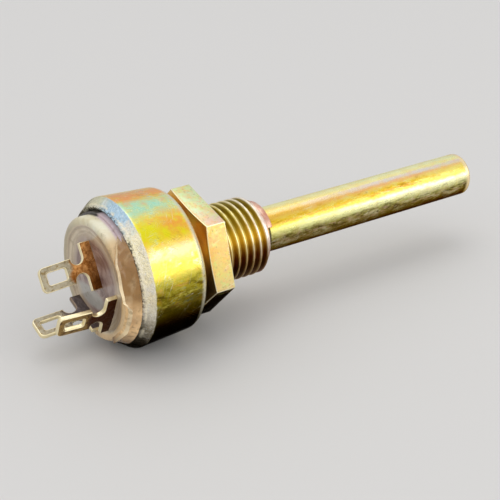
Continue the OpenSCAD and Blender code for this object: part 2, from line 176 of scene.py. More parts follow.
class CaseSettings(bpy.types.PropertyGroup):
    front_radius: length("Front radius", "Radius behind the front edge", 6.25)
    edge_radius: length("Front edge", "Radius of the rounded front edge", 0.7)
    band_depth: length("Band depth", "Depth of the case up to its crimp", 5.24)
    crimp_radius: length("Crimp radius", "Radius of the opening in the crimp", 5.9)
    wall: length("Wall", "Thickness of the sheet", 0.4)
    hole: length("Hole", "Radius of the hole for the bushing", 3.52)
    lumps: length("Crimp lumps", "Height of the unevenness of the crimped rim", 0.08)
    lump_start: length("Lump start", "Distance from the crimp's edge over which the lumps set in", 0.3)
    lump_size: length("Lump size", "Size of the larger lumps", 0.7)
    fine_lumps: length("Fine lumps", "Size of the smaller lumps", 0.3)
    edge: length("Edge", "Rounding of the sheet's edges", 0.06)


class BaseSettings(bpy.types.PropertyGroup):
    boss_radius: length("Boss radius", "Radius of the rear boss", 5.319)
    step_radius: length("Step radius", "Radius of the step in front of the boss", 5.519)
    step_depth: length("Step depth", "Depth of that step", 6.4)
    rim_width: length("Rim width", "Width of the rim round the dish", 0.5)
    rim_round: length("Rim rounding", "Rounding of the boss's rim", 0.3)
    dish_depth: length("Dish depth", "Depth of the dish", 0.3)
    dish_slope: length("Dish slope", "Width of the dish's sloping wall", 0.3)
    dish_curve: length("Dish curve", "Width over which the resin rises to the rim", 1.3)
    meniscus: length("Meniscus", "Rise of the resin along a terminal", 0.12)
    meniscus_reach: length("Meniscus reach", "Distance over which that rise dies away", 0.22)
    rim_lip: length("Rim lip", "Width of the flat edge between the dish and the rim's rounding", 0.12)
    waves: length("Waves", "Height of the waves in the dish's sloping wall", 0.03)
    wave_size: length("Wave size", "Size of the larger waves", 2.2)
    fine_waves: length("Fine waves", "Size of the smaller waves", 0.9)
    neck_depth: length("Neck depth", "Depth at which the boss begins to widen towards the skirt", 5.95)
    seat_rear: length("Seat rear", "Depth of the widest part's rear edge", 5.07)
    seat_rear_radius: length("Seat rear radius", "Radius of the widest part at its rear edge", 6.1)
    seat_front: length("Seat front", "Depth of the widest part's front edge", 4.3)
    seat_front_radius: length("Seat front radius", "Radius of the widest part at its front edge", 6.05)
    floor_depth: length("Floor depth", "Depth of the wall that carries the track", 4.27)
    skirt_radius: length("Skirt radius", "Outer radius of the skirt", 5.75)
    skirt_bore: length("Skirt bore", "Inner radius of the skirt", 5.35)


class LugSettings(bpy.types.PropertyGroup):
    edge: length("Edge", "Rounding of the stamped edges", 0.09)
    neck_depth: length("Neck depth", "Depth of the necks, behind which the blades lean", 8.2)
    centre_lean: angle("Centre lean", "Angle by which the centre blade leans down", 4.6)
    right_lean: angle("Right lean", "Angle by which the right-hand blade leans sideways", 5.0)
    left_lean: angle("Left lean", "Angle by which the left-hand blade leans down", 6.0)


class CompoundSettings(bpy.types.PropertyGroup):
    start: angle("Start", "Clock angle where the fillet starts", 112)
    arc: angle("Arc", "Arc that the fillet covers", 150)
    taper: angle("Taper", "Angle over which each end of the fillet tapers off", 30)
    crest_rise: length("Crest rise", "Height of the crest over the boss's rear face", 0.14)
    bulge: length("Bulge", "Width by which the crest stands outside the boss", 0.1)
    creases: length("Creases", "Depth of the creases in the resin", 0.05)
    crease_size: length("Crease size", "Size of the larger creases", 0.8)
    fine_creases: length("Fine creases", "Size of the smaller creases", 0.35)
    inset: length("Inset", "How far inside the boss's edge the fillet starts", 0.45)
    sink: length("Sink", "How far its start lies in the moulding", 0.04)
    belly: length("Belly", "Width by which the fillet stands out past its crest", 0.06)
    belly_depth: length("Belly depth", "Distance of that place in front of the boss's rear face", 0.45)
    lap: length("Lap", "Width and height by which its foot laps over the crimp", 0.03)
    corner_depth: length("Corner depth", "Depth to which the fillet reaches inside the crimp", 0.12)
    corner_gap: length("Corner gap", "Gap between that corner and the boss", 0.02)
    corner_inset: length("Corner inset", "How far inside the crimp's opening the corner begins", 0.25)
    fold_reach: length("Fold reach", "Distance from the crest over which a fold dies away", 0.35)
    fold_lean: number("Fold lean", "How far an outward fold also leans forward", 1.4)
    end_size: number("End size", "Share of its size that the fillet keeps at its ends", 0.1)
    crown: length("Crown", "Depth of the crown's finish", 0.3)
    ridge: length("Ridge", "Half the width of the ridge's finish", 0.17)
    ridge_depth: length("Ridge depth", "Depth by which the crown's finish reaches past the ridge's", 0.12)


class StageSettings(bpy.types.PropertyGroup):
    azimuth: angle("Azimuth", "Direction of the camera round the part", -34.55)
    elevation: angle("Elevation", "Height of the camera above the horizon", 25.73)
    distance: length("Distance", "Distance of the camera from its target", 119.74)
    target_x: length("Target along", "Place of the camera's target along the shaft", 8.3)
    target_z: length("Target height", "Height of the camera's target", -1.59)
    lens: number("Lens", "Focal length on a 36 mm sensor", 96.87)
    floor_colour: colour("Floor", "Colour of the floor", "D2D0CC")


class FinishSettings(bpy.types.PropertyGroup):
    lemon: colour("Lemon", "Lightest colour of the plated film", "F4E264")
    gold: colour("Gold", "Main colour of the plated film", "F6CE24")
    orange: colour("Orange", "Warm colour of the plated film", "FFAE60")
    green: colour("Green", "Cool colour of the plated film", "C8E8C4")
    rose: colour("Rose", "Pink colour of the plated film", "F0C88C")
    # Olive serves as painted shade along the case's underside.
    olive: colour("Olive", "Dark colour of the plated film", "342804")
    brass: colour("Brass", "Colour of the terminals' sheet", "DCA060")
    tin: colour("Tin", "Colour of the tinned eyelets", "AAA088")
    cream: colour("Cream", "Colour of the moulding", "EAE6CC")
    mauve: colour("Mauve", "Colour of the resin in the dish", "7A6058")
    amber: colour("Amber", "Colour of the sealing compound", "98703C")


SETTINGS = {
    "pot_shaft": ShaftSettings,
    "pot_bushing": BushingSettings,
    "pot_nut": NutSettings,
    "pot_case": CaseSettings,
    "pot_base": BaseSettings,
    "pot_lugs": LugSettings,
    "pot_compound": CompoundSettings,
    "pot_stage": StageSettings,
    "pot_finish": FinishSettings,
}


def deselect():
    """Leave edit mode and deselect everything."""
    if bpy.context.mode != "OBJECT":
        bpy.ops.object.mode_set(mode="OBJECT")
    bpy.ops.object.select_all(action="DESELECT")


def pick(piece):
    """Make a piece the only selected and the active one."""
    deselect()
    piece.select_set(True)
    bpy.context.view_layer.objects.active = piece


def arc(centre, r, start, end, steps):
    """Points (x, radius) on an arc of a section, with its angles in degrees from +X towards the rim."""
    angles = [math.radians(start + (end - start) * i / steps) for i in range(steps + 1)]
    return [(centre[0] + r * math.cos(a), centre[1] + r * math.sin(a)) for a in angles]


def divided(a, b, parts):
    """Points after a and up to b that divide the straight line between them."""
    return [
        (a[0] + (b[0] - a[0]) * i / parts, a[1] + (b[1] - a[1]) * i / parts) for i in range(1, parts + 1)
    ]


def turned(name, section, steps, start=math.pi / 2, sweep=2 * math.pi):
    """Turn a piece: its section of (x, radius) points is drawn by extrusion and spun round the shaft."""
    across, up = math.cos(start), math.sin(start)
    deselect()
    bpy.ops.mesh.primitive_plane_add(size=MM)
    piece = bpy.context.object
    piece.name = name
    piece.data.name = name
    bpy.ops.object.mode_set(mode="EDIT")
    bpy.ops.mesh.select_all(action="SELECT")
    bpy.ops.mesh.merge(type="CENTER")
    bpy.ops.transform.translate(value=(section[0][0], section[0][1] * across, section[0][1] * up))
    for a, b in zip(section, section[1:]):
        move = (b[0] - a[0], (b[1] - a[1]) * across, (b[1] - a[1]) * up)
        bpy.ops.mesh.extrude_region_move(TRANSFORM_OT_translate={"value": move})
    bpy.ops.mesh.select_all(action="SELECT")
    bpy.ops.mesh.spin(steps=steps, angle=-sweep, center=(0, 0, 0), axis=(1, 0, 0))
    bpy.ops.mesh.select_all(action="SELECT")
    bpy.ops.mesh.remove_doubles(threshold=WELD * 20)
    if sweep < 2 * math.pi:
        bpy.ops.mesh.select_all(action="DESELECT")
        bpy.ops.mesh.select_non_manifold()
        bpy.ops.mesh.fill_holes(sides=0)
        bpy.ops.mesh.select_all(action="SELECT")
    bpy.ops.mesh.normals_make_consistent(inside=False)
    bpy.ops.object.mode_set(mode="OBJECT")
    return piece


def copied(name, node):
    """Copy a CAD node and join its loose triangles into clean faces."""
    deselect()
    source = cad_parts[node]
    piece = bpy.data.objects.new(name, source.data.copy())
    piece.data.name = name
    piece.data.materials.clear()
    bpy.context.scene.collection.objects.link(piece)
    pick(piece)
    bpy.ops.object.mode_set(mode="EDIT")
    bpy.ops.mesh.select_all(action="SELECT")
    bpy.ops.mesh.remove_doubles(threshold=WELD * 20)
    bpy.ops.mesh.dissolve_limited(angle_limit=math.radians(0.5))
    bpy.ops.object.mode_set(mode="OBJECT")
    return piece


def apply_modifier(piece, kind, **values):
    """Add one modifier to a piece, set it up and apply it."""
    pick(piece)
    modifier = piece.modifiers.new(kind.title(), kind)
    for key, value in values.items():
        setattr(modifier, key, value)
    bpy.ops.object.modifier_apply(modifier=modifier.name)


def rounded(piece, width, segments=3, limit=30, slot=-1):
    """Round a piece's sharp edges."""
    apply_modifier(
        piece,
        "BEVEL",
        width=width,
        segments=segments,
        limit_method="ANGLE",
        angle_limit=math.radians(limit),
        material=slot,
    )


def cut(piece, tool):
    """Cut a piece with a tool and delete the tool."""
    apply_modifier(piece, "BOOLEAN", object=tool, operation="DIFFERENCE", solver="EXACT")
    bpy.data.objects.remove(tool)


def smooth(piece, limit=35):
    """Shade a piece smooth up to an angle."""
    pick(piece)
    bpy.ops.object.shade_smooth_by_angle(angle=math.radians(limit))


def finish_piece(piece, body, material, node):
    """Give a piece its finish, set it on its body and let it stand for its CAD node."""
    if material is not None:
        piece.data.materials.clear()
        piece.data.materials.append(material)
    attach(piece, body)
    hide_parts(node)


class Finish:
    """Builds one procedural material, whose places are in millimetres of the part's own frame."""

    def __init__(self, name, metallic=0.0, roughness=0.4):
        self.material = bpy.data.materials.new(name)
        self.material.use_nodes = True
        self.tree = self.material.node_tree
        self.shader = self.tree.nodes["Principled BSDF"]
        self.set("Metallic", metallic)
        self.set("Roughness", roughness)
        self.place = self.scaled(self.add("ShaderNodeTexCoord").outputs["Object"], (1 / MM,) * 3)

    def add(self, kind, **values):
        """Add a node and set its properties."""
        node = self.tree.nodes.new(kind)
        for key, value in values.items():
            setattr(node, key, value)
        return node

    def feed(self, socket, value):
        """Link a value to a socket, or set the socket if the value is a number, a colour or a hex code."""
        if isinstance(value, bpy.types.NodeSocket):
            self.tree.links.new(value, socket)
        elif socket.type == "RGBA":
            socket.default_value = (*linear(value), 1)
        else:
            socket.default_value = value

    def scaled(self, vector, scale, offset=(0, 0, 0)):
        """Scale and shift a pattern's coordinates."""
        node = self.add("ShaderNodeMapping")
        self.feed(node.inputs["Vector"], vector)
        node.inputs["Scale"].default_value = scale
        node.inputs["Location"].default_value = offset
        return node.outputs["Vector"]

    def noise(self, scale, detail=3, roughness=0.5, stretch=(1, 1, 1), offset=(0, 0, 0), **more):
        """Noise of a scale in cells per millimetre, drawn out by a stretch."""
        node = self.add("ShaderNodeTexNoise")
        self.feed(node.inputs["Vector"], self.scaled(more.get("place", self.place), stretch, offset))
        node.inputs["Scale"].default_value = scale
        node.inputs["Detail"].default_value = detail
        node.inputs["Roughness"].default_value = roughness
        node.inputs["Distortion"].default_value = more.get("distortion", 0.0)
        return node.outputs["Fac"]

    def spots(self, low, high, scale, detail=4, roughness=0.7, offset=(0, 0, 0)):
        """Mask of a noise: 0 below its lower limit and 1 past its upper one."""
        return self.within(self.noise(scale, detail, roughness, offset=offset), low, high)

    def turned_place(self, lean=0.0):
        """Place unrolled round the shaft, and turned by an angle in that flat sheet."""
        node = self.add("ShaderNodeCombineXYZ")
        self.feed(node.inputs[0], self.axes()[0])
        self.feed(node.inputs[1], self.times(self.clock(), TURN_LENGTH))
        self.feed(node.inputs[2], self.radius())
        turn = self.add("ShaderNodeMapping")
        self.feed(turn.inputs["Vector"], node.outputs[0])
        turn.inputs["Rotation"].default_value = (0, 0, math.radians(lean))
        return turn.outputs["Vector"]

    def hairlines(self, lean, scale, width, offset):
        """Mask of fine lines that run across an unrolled surface at an angle, in patches."""
        place = self.turned_place(lean)
        field = self.noise(scale, detail=1, stretch=(0.05, 1, 1), offset=offset, place=place)
        lines = self.math("LESS_THAN", self.math("ABSOLUTE", self.minus(field, 0.5)), width)
        return self.times(lines, self.spots(0.5, 0.62, 0.7, 2, 0.5, offset))

    def near(self, value, centre, width):
        """1 where a value is at a centre, falling to 0 at a width from it."""
        away = self.math("ABSOLUTE", self.minus(value, centre))
        return self.within(away, width, 0.0)

    def sector(self, start, end, turn=None):
        """0 at one clock angle, changing to 1 at another."""
        return self.within(turn or self.clock(), clock_share(start), clock_share(end))

    def facing(self, degrees, width):
        """1 at a clock angle, falling to 0 at a share of a turn from it."""
        return self.near(self.clock(), clock_share(degrees), width)

    def over(self, below, mask, shade, share=1):
        """One colour laid over another where a mask is 1, at a share of full strength."""
        return self.mix(mask if share == 1 else self.times(mask, share), below, shade)

    def overlay(self, mask, shade, share=1):
        """Lay a colour over the shader's own."""
        before = self.shader.inputs["Base Color"].links[0].from_socket
        self.set("Base Color", self.over(before, mask, shade, share))

    def brush(self, middle, width, scale, light, dark):
        """Break a band round a clock angle up into light and dark strokes along the shaft."""
        band = self.facing(middle, width / 360)
        field = self.noise(scale, detail=5, stretch=(0.3, 1, 1), offset=(5, 9, 4), roughness=0.75)
        self.overlay(band, light, self.within(field, 0.52, 0.6))
        self.overlay(band, dark, self.within(field, 0.47, 0.39))

    def math(self, operation, a, b=0.0):
        """One step of arithmetic."""
        node = self.add("ShaderNodeMath", operation=operation)
        self.feed(node.inputs[0], a)
        self.feed(node.inputs[1], b)
        return node.outputs[0]

    def plus(self, a, b):
        """Sum of two values."""
        return self.math("ADD", a, b)

    def minus(self, a, b):
        """Difference of two values."""
        return self.math("SUBTRACT", a, b)

    def times(self, a, b):
        """Product of two values."""
        return self.math("MULTIPLY", a, b)

    def swing(self, field, amount):
        """A noise brought to swing round 0."""
        return self.times(self.minus(field, 0.5), amount)

    def within(self, value, low, high):
        """Value brought from low..high to 0..1 and clamped."""
        node = self.add("ShaderNodeMapRange")
        self.feed(node.inputs["Value"], value)
        node.inputs["From Min"].default_value = low
        node.inputs["From Max"].default_value = high
        return node.outputs["Result"]

    def between(self, value, low, high):
        """Value from 0..1 brought to low..high."""
        node = self.add("ShaderNodeMapRange")
        self.feed(node.inputs["Value"], value)
        node.inputs["To Min"].default_value = low
        node.inputs["To Max"].default_value = high
        return node.outputs["Result"]

    def ramp(self, value, stops):
        """Colours along a value, as (place, colour) stops."""
        node = self.add("ShaderNodeValToRGB")
        elements = node.color_ramp.elements
        while len(elements) < len(stops):
            elements.new(0.5)
        for element, (at, shade) in zip(elements, stops):
            element.position = at
            element.color = (*linear(shade), 1)
        self.feed(node.inputs["Fac"], value)
        return node.outputs["Color"]

    def mix(self, share, a, b):
        """Mix two colours."""
        node = self.add("ShaderNodeMix", data_type="RGBA")
        self.feed(node.inputs["Factor"], share)
        self.feed(node.inputs[6], a)
        self.feed(node.inputs[7], b)
        return node.outputs[2]

    def axes(self):
        """The three coordinates of the place."""
        node = self.add("ShaderNodeSeparateXYZ")
        self.feed(node.inputs[0], self.place)
        return node.outputs["X"], node.outputs["Y"], node.outputs["Z"]

    def clock(self):
        """Share of a turn round the shaft: 0 and 1 at the bottom, 0.25 at the back, 0.5 at the top."""
        _, y, z = self.axes()
        turn = self.math("ARCTAN2", self.times(y, -1.0), z)
        return self.plus(self.math("DIVIDE", turn, 2 * math.pi), 0.5)

    def radius(self):
        """Distance from the shaft axis, in millimetres."""
        _, y, z = self.axes()
        squares = self.plus(self.times(y, y), self.times(z, z))
        return self.math("SQRT", squares)

    def bump(self, height, distance):
        """Raise the surface by a pattern, with its height in millimetres."""
        node = self.add("ShaderNodeBump")
        node.inputs["Distance"].default_value = distance * MM
        self.feed(node.inputs["Height"], height)
        if self.shader.inputs["Normal"].is_linked:
            before = self.shader.inputs["Normal"].links[0].from_socket
            self.feed(node.inputs["Normal"], before)
        self.feed(self.shader.inputs["Normal"], node.outputs["Normal"])

    def set(self, name, value):
        """Feed one of the shader's inputs."""
        self.feed(self.shader.inputs[name], value)


def clock_share(degrees):
    """Where a clock angle, in degrees from the back over the top, lies in Finish.clock."""
    return ((degrees - 270) % 360) / 360


def band_stops(bands):
    """Ramp stops for bands of colour, given by their clock angles."""
    return sorted((clock_share(degrees), shade) for degrees, shade in bands.items())


def plated(name, bands, roughness, warp=0.05, mottle=0.5, streak=(0.25, 1, 1), grain=0.25, speckle=1.5):
    """Steel under a yellow iridescent film, whose colours change round the shaft; its bands also paint
    light, with a painted highlight band and painted shade along the underside.
    """
    colours = bpy.context.scene.pot_finish
    film = Finish(name, metallic=1.0, roughness=roughness)
    cloud = film.noise(0.45, detail=5, stretch=streak, roughness=0.6, distortion=0.4)
    fine = film.noise(speckle, detail=5, stretch=(0.6, 1, 1), offset=(3, 1, 7), roughness=0.7)
    fuzz = film.noise(4.5, detail=4, stretch=(0.5, 1, 1), offset=(1, 2, 9), roughness=0.7)
    shift = film.plus(film.swing(cloud, warp * 2), film.swing(fuzz, warp * 1.2))
    turn = film.plus(film.clock(), shift)
    base = film.ramp(turn, band_stops(bands))
    tints = (colours.green, colours.lemon, colours.gold, colours.orange, colours.rose)
    tints = film.ramp(fine, list(zip((0.36, 0.45, 0.52, 0.58, 0.66), tints)))
    # The mottled tints stay on the upper side, so the painted shade below stays plain.
    patches = film.times(film.spots(0.42, 0.6, 0.8, 4, 0.6, (11, 5, 2)), film.sector(196, 160, turn))
    shade = film.over(base, patches, tints, mottle)
    lines = film.noise(5.0, stretch=(0.04, 1, 1), offset=(0, 9, 4))
    shade = film.over(shade, film.within(lines, 0.4, 0.64), base, grain)
    film.set("Base Color", shade)
    # Painted shade: from clock 205 round the bottom, the reflections take the dark band colours.
    film.set("Specular Tint", film.mix(film.sector(170, 205, turn), (1, 1, 1), shade))
    film.set("Roughness", film.between(fine, roughness - 0.08, roughness + 0.16))
    film.bump(film.noise(8, roughness=0.6), 0.012)
    return film


def case_finish():
    """Plated film of the case: streaked round the shaft, with a painted highlight band and painted shade
    below, worn along its front edge and at its crimp's corner with a painted highlight there, scratched.
    """
    c = bpy.context.scene.pot_finish
    # Bands 145 to 162 are a painted highlight band, and from 176 round the bottom to 330 the bands darken
    # as painted shade.
    bands = {
        271: "1E1404", 330: "6C5A18", 20: "C8A838", 55: c.gold, 74: "F0C878", 81: c.orange,
        91: c.orange, 97: "CCE6B8", 101: "B0EACC", 110: "B8DCB4", 116: "DCD87C", 123: "ECE430",
        134: "ECDC24", 140: "F4D468", 145: "F4CC98", 149: "F4D894", 154: "F8F060",
        162: c.lemon, 169: "C0B43C", 176: "94881C", 187: "50440C", 205: c.olive, 220: "281C08",
        269: "241A08",
    }
    film = plated("case_film", bands, roughness=0.25, warp=0.02, mottle=0.6)
    film.brush(178, 14, 1.6, "C8BC50", "5C4C10")
    along = film.axes()[0]
    warm = film.times(film.facing(126, 0.05), film.spots(0.38, 0.52, 0.8, 4, 0.6, (6, 3, 3)))
    film.overlay(warm, "F6AE48", film.within(along, -3.8, -2.2))
    wear_and_glint = film.noise(1.8, detail=5, offset=(8, 2, 2), roughness=0.7)
    # Pale lines along the front edge and the crimp's corner: edge wear and a painted highlight, broken up
    # by a noise.
    edge = film.times(film.near(along, -0.4, 0.34), film.within(wear_and_glint, 0.28, 0.46))
    film.overlay(edge, "F2EED8", 0.85)
    corner = film.times(film.near(along, -5.22, 0.1), film.within(wear_and_glint, 0.42, 0.6))
    film.overlay(corner, "F0EAC8", 0.6)
    lit = film.between(film.sector(200, 180), 0.12, 0.5)
    film.overlay(film.hairlines(8, 3.2, 0.01, (4, 4, 1)), "F2ECC8", lit)
    film.overlay(film.hairlines(68, 2.6, 0.008, (9, 1, 5)), "F4EED0", lit)
    film.overlay(film.hairlines(-40, 2.2, 0.008, (2, 7, 3)), "8A6E24", 0.4)
    return film.material


def crimp_finish():
    """Bare, lumpy silver of the crimped rim: bluish above, cream beside, and darkened below by painted
    shade.
    """
    film = Finish("crimp_film", metallic=0.95, roughness=0.36)
    stain = film.noise(0.9, detail=5, roughness=0.65)
    speck = film.noise(3.6, detail=4, offset=(5, 2, 8), roughness=0.7)
    grit = film.noise(4.4, detail=4, offset=(2, 6, 3), roughness=0.75)
    turn = film.plus(film.clock(), film.swing(stain, 0.05))
    # From 206 round the bottom to 40 the bands darken as painted shade, kept free of patches, and the
    # reflections take these bands' colours.
    bands = {
        271: "4A4230", 40: "9C9484", 75: "ECEACC", 92: "C4E0F0", 118: "C0DCEC", 128: "FFF4CC",
        150: "FFF4CC", 172: "FFF2CC", 190: "ECE4D0", 206: "948A74", 220: "443C30",
        236: "2A2418", 269: "2A2418",
    }
    base = film.ramp(turn, band_stops(bands))
    edge = film.plus(film.radius(), film.times(stain, 0.5))
    # Painted shadow: dark specks in the jagged edge of the lip.
    lip = film.times(film.within(edge, 6.3, 6.14), film.within(speck, 0.44, 0.54))
    shadow = film.times(film.within(edge, 6.5, 6.15), film.sector(182, 204, turn))
    # Painted highlight: a bright cream line along the fold beside the lip.
    fold = film.times(film.near(film.radius(), 6.06, 0.1), film.within(stain, 0.44, 0.52))
    shade = base
    for mask, colour, share in (
        (film.within(stain, 0.5, 0.64), "F4ECD8", 1),
        (film.within(speck, 0.55, 0.67), "98907C", 0.3),
        (film.within(grit, 0.54, 0.64), "FFFFFF", 0.5),
        (film.within(grit, 0.44, 0.36), "8C8474", 0.25),
        (lip, "3C362E", 0.85),
        (shadow, "4C4638", 0.7),
        (fold, "FFF6DC", 1),
    ):
        shade = film.over(shade, mask, colour, share)
    upper = film.times(film.sector(226, 206, turn), film.sector(350, 40, turn))
    film.set("Base Color", film.mix(upper, base, shade))
    film.set("Specular Tint", base)
    film.set("Roughness", film.between(speck, 0.26, 0.5))
    film.bump(film.noise(2.6, detail=5, roughness=0.7), 0.2)
    film.bump(film.noise(9, detail=3, roughness=0.7), 0.05)
    return film.material


def shaft_finish():
    """Plated film of the shaft, drawn out along it and paler towards its tip, with a painted highlight band
    and painted shade along its underside.
    """
    c = bpy.context.scene.pot_finish
    # Bands 159 to 172 are a painted highlight band; from 180 round the bottom to 330 the bands darken as
    # painted shade.
    bands = {
        271: "846C2C", 330: "B09848", 20: "D8C060", 60: "FCF4A0", 86: "FFFFC4", 103: "FCF4AC",
        111: "E8DCD4", 117: "E4D4C4", 123: "F4B880", 130: "F8D070", 138: c.gold, 146: "F0AC5C",
        152: "F4CC58", 159: "FCF8D0", 172: "F4F4B0", 180: "B4B060", 191: "947F3C",
        204: "7C6830", 222: "786228", 269: "8C7834",
    }
    film = plated("shaft_film", bands, 0.24, warp=0.03, mottle=0.35, streak=(0.08, 1, 1), grain=0.5)
    film.brush(188, 30, 1.9, "D8D0A0", "5C4A1C")
    film.brush(190, 22, 4.0, "C8A888", "503E18")
    film.brush(140, 22, 2.6, "F8E878", "C89428")
    along = film.axes()[0]
    rear_end = film.within(along, 24, 11)
    front_end = film.within(along, 25, 31)
    # Near the case, the 160 row tones the painted highlight down and the 190 row deepens the painted shade.
    for degrees, width, end, shade, share in (
        (120, 0.12, rear_end, "DCB02C", 0.8),
        (160, 0.06, rear_end, "C4C04C", 0.7),
        (190, 0.05, rear_end, "5C4A14", 0.5),
        (134, 0.06, front_end, "FCEC80", 0.7),
    ):
        film.overlay(film.times(film.facing(degrees, width), end), shade, share)
    # Painted highlight: a pale ring on the tip's bevel.
    film.overlay(film.within(along, 32.2, 32.5), "FCE4B0")
    # Painted shadow: a dark ring round the shaft just in front of the bushing's mouth.
    film.overlay(film.within(along, 9.3, 9.15), "2A1A08")
    film.overlay(film.hairlines(0, 4.0, 0.014, (4, 4, 1)), "F6F0D0", 0.4)
    film.overlay(film.hairlines(83, 2.4, 0.006, (1, 8, 2)), "F4EEC8", 0.3)
    return film.material


def nut_finish():
    """Pale plated film of the nut, which changes from face to face, with its lower faces darkened as
    painted shade.
    """
    # From 195 round the bottom to 314 the bands are painted shade.
    bands = {
        271: "5A4410", 314: "A08430", 316: "C8B064", 14: "C8B064", 15: "DCD08C", 74: "DCD08C",
        75: "D8E8B4", 112: "E2EEC4", 126: "E8D0B8", 134: "F0CCBC", 135: "F0C480",
        160: "ECC478", 180: "ECD884", 194: "ECD090", 195: "3C2A0A", 254: "241804",
        269: "3A2A08",
    }
    film = plated("nut_film", bands, 0.36, warp=0.004, mottle=0.4, streak=(1, 1, 1), grain=0.0, speckle=2.6)
    lit = film.sector(205, 194)
    warm = film.spots(0.5, 0.62, 1.5, 5, offset=(3, 8, 5))
    cool = film.spots(0.52, 0.64, 1.9, 5, offset=(7, 1, 9))
    pits = film.spots(0.58, 0.66, 5.0, 3, offset=(2, 2, 8))
    for mask, shade, share in ((warm, "F4BC80", 0.5), (cool, "D8E890", 0.6), (pits, "A8925C", 0.5)):
        film.overlay(film.times(mask, lit), shade, share)
    film.overlay(film.within(film.axes()[0], 1.3, 1.06), "F0BC6C", 0.85)
    film.overlay(film.hairlines(25, 3.0, 0.01, (6, 2, 2)), "F6F0D0", 0.5)
    return film.material


def edge_finish():
    """Bright edges of plated pieces: wear, lightened further as a painted highlight."""
    film = Finish("worn_edge_and_glint", metallic=1.0, roughness=0.25)
    wear_and_glint = film.noise(2.5, detail=4)
    film.set("Base Color", film.mix(wear_and_glint, "FFFCE4", "F4E4A8"))
    return film.material


def bushing_finish():
    """Gold-brown plated thread: painted highlights make its crests and the mouth's bevel pale on the upper
    side, and painted shade darkens its grooves and its lower side.
    """
    film = Finish("thread_film", metallic=1.0, roughness=0.3)
    depth = film.within(film.radius(), 3.08, 3.48)
    stain = film.noise(0.8, detail=4, stretch=(0.6, 1, 1))
    low = film.sector(196, 158)
    along = film.axes()[0]
    # From 186 round the bottom to 20 the groove bands darken as painted shade.
    bands = {
        271: "3A1E08", 20: "A08838", 75: "908430", 110: "A89840", 140: "D0B858", 165: "CCAC50",
        186: "7C4818", 210: "4C280C", 269: "3A1E08",
    }
    flank = film.over(film.ramp(film.clock(), band_stops(bands)), stain, "8C6020", 0.4)
    # Painted highlight on the crests, whitest towards the mouth and dull below the side.
    crest = film.mix(stain, "F8ECA8", "ECD490")
    crest = film.mix(film.within(along, 5.4, 7.4), crest, "FCF0DC")
    crest = film.mix(low, "9C7C48", crest)
    shade = film.mix(film.within(depth, 0.72, 0.95), flank, crest)
    # Painted highlight on the mouth's bevel above, painted shade below.
    pale = film.mix(film.within(stain, 0.4, 0.6), "FCF0E0", "F0D0C0")
    rose = film.mix(low, "A0705C", pale)
    film.set("Base Color", film.mix(film.within(along, 7.8, 7.95), shade, rose))
    film.set("Roughness", film.between(stain, 0.22, 0.4))
    film.bump(film.noise(7, detail=3, stretch=(1, 0.3, 0.3)), 0.012)
    return film.material


def ring_finish():
    """Pinkish plated spring steel."""
    film = Finish("ring_film", metallic=1.0, roughness=0.32)
    stain = film.noise(1.6, detail=4)
    film.set("Base Color", film.mix(film.within(stain, 0.35, 0.65), "D89880", "ECC8B0"))
    film.bump(film.noise(10, detail=2), 0.01)
    return film.material


def moulding_finish():
    """Glossy cream moulding with cloudy mauve resin in its dish, and a shadowed step beside the crimp."""
    c = bpy.context.scene.pot_finish
    film = Finish("moulding", roughness=0.32)
    x, y, z = film.axes()
    cloud = film.noise(0.55, detail=4, roughness=0.6)
    wander = film.swing(cloud, 0.35)
    r = film.plus(film.radius(), wander)
    cream = film.mix(film.within(cloud, 0.35, 0.65), c.cream, "D8CCA4")
    turn = film.plus(film.clock(), film.times(wander, 0.05))
    # Painted shade: the cream darkens from clock 72 down over the back to the bottom.
    cream = film.mix(film.sector(72, 40, turn), cream, "B4A88C")
    cream = film.over(cream, film.sector(106, 130, turn), "D0AC78", 0.85)
    rings = film.noise(1.0, detail=3, stretch=(1, 0.2, 1.5), place=film.turned_place(), roughness=0.6)
    resin = film.mix(film.within(rings, 0.4, 0.62), c.mauve, "A8938A")
    # Painted shade: a dark ring in the resin below the rim.
    resin = film.over(resin, film.near(r, 3.9, 0.35), "4C382C", 0.3)
    # Painted reflection: a light grey patch on the resin, low in the dish.
    across = film.math("DIVIDE", film.minus(y, 1.0), 2.6)
    upwards = film.math("DIVIDE", film.plus(z, 2.0), 0.95)
    apart = film.plus(film.times(across, across), film.times(upwards, upwards))
    painted_reflection = film.within(film.plus(apart, wander), 1.15, 0.55)
    resin = film.over(resin, painted_reflection, "B4B4AC", 0.75)
    wall = film.mix(film.within(rings, 0.4, 0.62), "D4C4A8", "B4A084")
    shade = film.mix(film.within(r, 3.1, 4.0), resin, wall)
    # Painted shade: dark rings on the dish's wall below the rim.
    for middle, width, share in ((4.5, 0.16, 0.5), (4.05, 0.14, 0.3)):
        shade = film.over(shade, film.near(r, middle, width), "74604C", share)
    shade = film.mix(film.within(r, 4.62, 4.8), shade, cream)
    step = film.within(x, -6.75, -6.45)
    gap = film.within(film.facing(56, 0.09), 0.05, 0.2)
    pink = film.mix(gap, "CCB8BC", "3A3432")
    shade = film.mix(step, shade, pink)
    grime = film.spots(0.56, 0.7, 1.4, 5, offset=(2, 8, 1))
    film.set("Base Color", film.over(shade, grime, "7C6A4C", 0.4))
    film.set("Roughness", film.between(film.within(r, 4.3, 4.7), 0.24, 0.34))
    film.set("Coat Weight", 0.2)
    film.set("Coat Roughness", 0.2)
    film.bump(film.noise(0.6, detail=2), 0.1)
    film.bump(film.noise(6, detail=3), 0.008)
    return film.material


